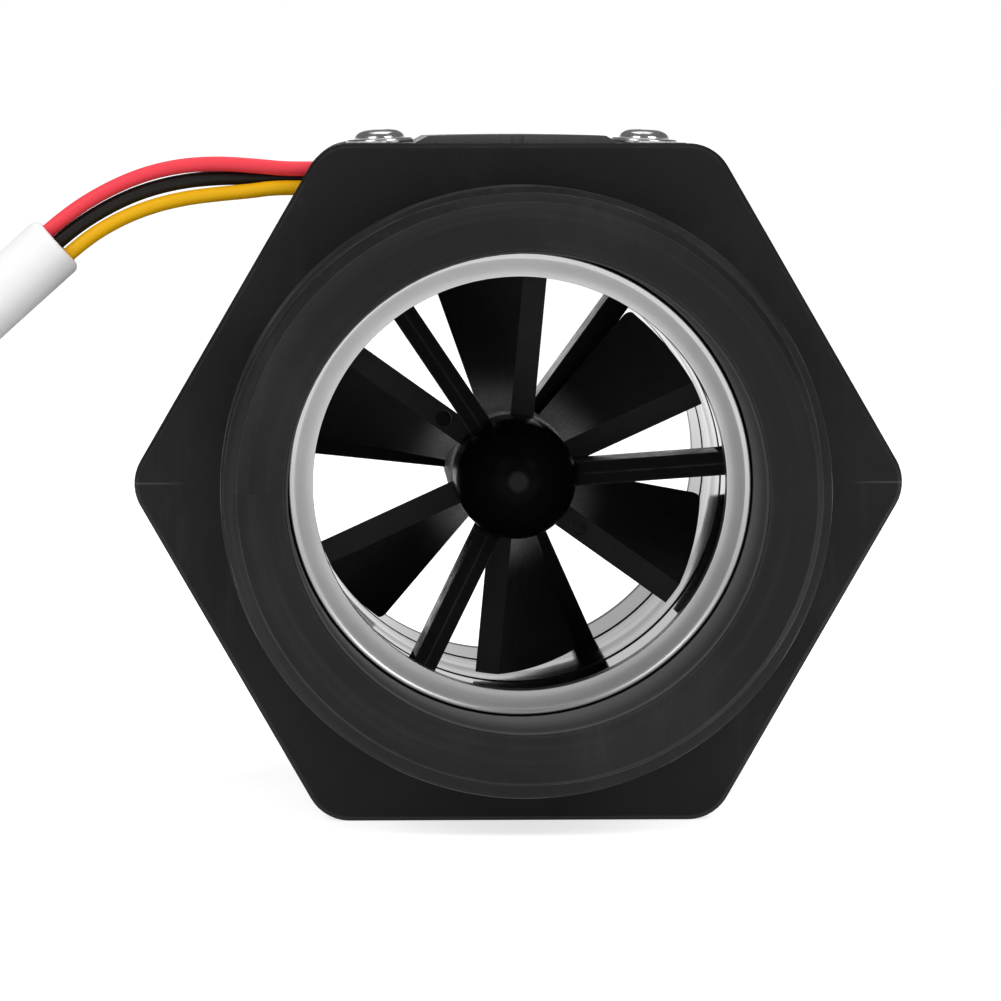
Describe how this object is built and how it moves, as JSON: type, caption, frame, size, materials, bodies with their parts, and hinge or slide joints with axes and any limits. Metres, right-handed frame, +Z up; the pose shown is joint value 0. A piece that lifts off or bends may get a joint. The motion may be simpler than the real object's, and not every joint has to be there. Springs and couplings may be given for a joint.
{
  "type": "water flow sensor",
  "caption": "Inline turbine water flow sensor with a hexagonal black body, threaded pipe ends, a steel-lined bore, a bladed wheel and a three-wire signal cable.",
  "frame": {"origin": "under the middle of the body, on its lower flat; the bore axis is 33.8 mm above it", "axes": "Y runs along the bore from the inlet face (-Y) to the outlet face (+Y), Z is up towards the sensor cover, X is to the right when looking into the inlet"},
  "size_m": [0.1959, 0.1076, 0.069],
  "materials": {
    "black_nylon": "fine moulded matt",
    "black_acetal": "smooth moulded",
    "cover_plastic": "fine moulded satin",
    "stainless": "turned and polished",
    "shaft_steel": "ground",
    "screw_steel": "bright plated",
    "magnet_metal": "nickel plated, dull",
    "bearing_brass": "turned",
    "bearing_plastic": "smooth",
    "black_rubber": "moulded",
    "board_green": "lacquered",
    "chip_black": "moulded",
    "red_insulation": "satin",
    "black_insulation": "satin",
    "yellow_insulation": "satin",
    "white_jacket": "satin",
    "plug_nylon": "natural nylon",
    "contact_brass": "tinned"
  },
  "bodies": {
    "housing": {"body_housing": "black_nylon", "front_sleeve": "stainless", "rear_sleeve": "stainless", "liner_tube": "stainless", "front_seal_ring": "black_rubber", "rear_seal_ring": "black_rubber", "front_bearing_carrier": "black_acetal", "rear_bearing_carrier": "black_acetal", "front_bush": "bearing_brass", "rear_bush": "bearing_brass", "front_thrust_washer": "bearing_plastic", "rear_thrust_washer": "bearing_plastic", "sensor_cover": "cover_plastic", "cover_gasket": "black_rubber", "cover_screws": "screw_steel", "screw_washers": "screw_steel", "circuit_board": "board_green", "sensing_element": "chip_black", "board_chips": "chip_black", "board_leads": "red_insulation", "wire_exit_block": "black_rubber", "red_wire": "red_insulation", "black_wire": "black_insulation", "yellow_wire": "yellow_insulation", "cable_end_sleeve": "white_jacket", "white_cable": "white_jacket", "cable_coil": "white_jacket", "coil_tail": "white_jacket", "plug_leads": "red_insulation", "cable_plug": "plug_nylon", "plug_contacts": "contact_brass"},
    "wheel": {"turbine_wheel": "black_acetal", "turbine_shaft": "shaft_steel", "wheel_magnets": "magnet_metal"}
  },
  "joints": [
    {"name": "wheel_spin", "type": "hinge", "parent": "housing", "child": "wheel", "pos_m": [0, 0, 0.03383], "axis": [0, 1, 0], "continuous": true}
  ]
}
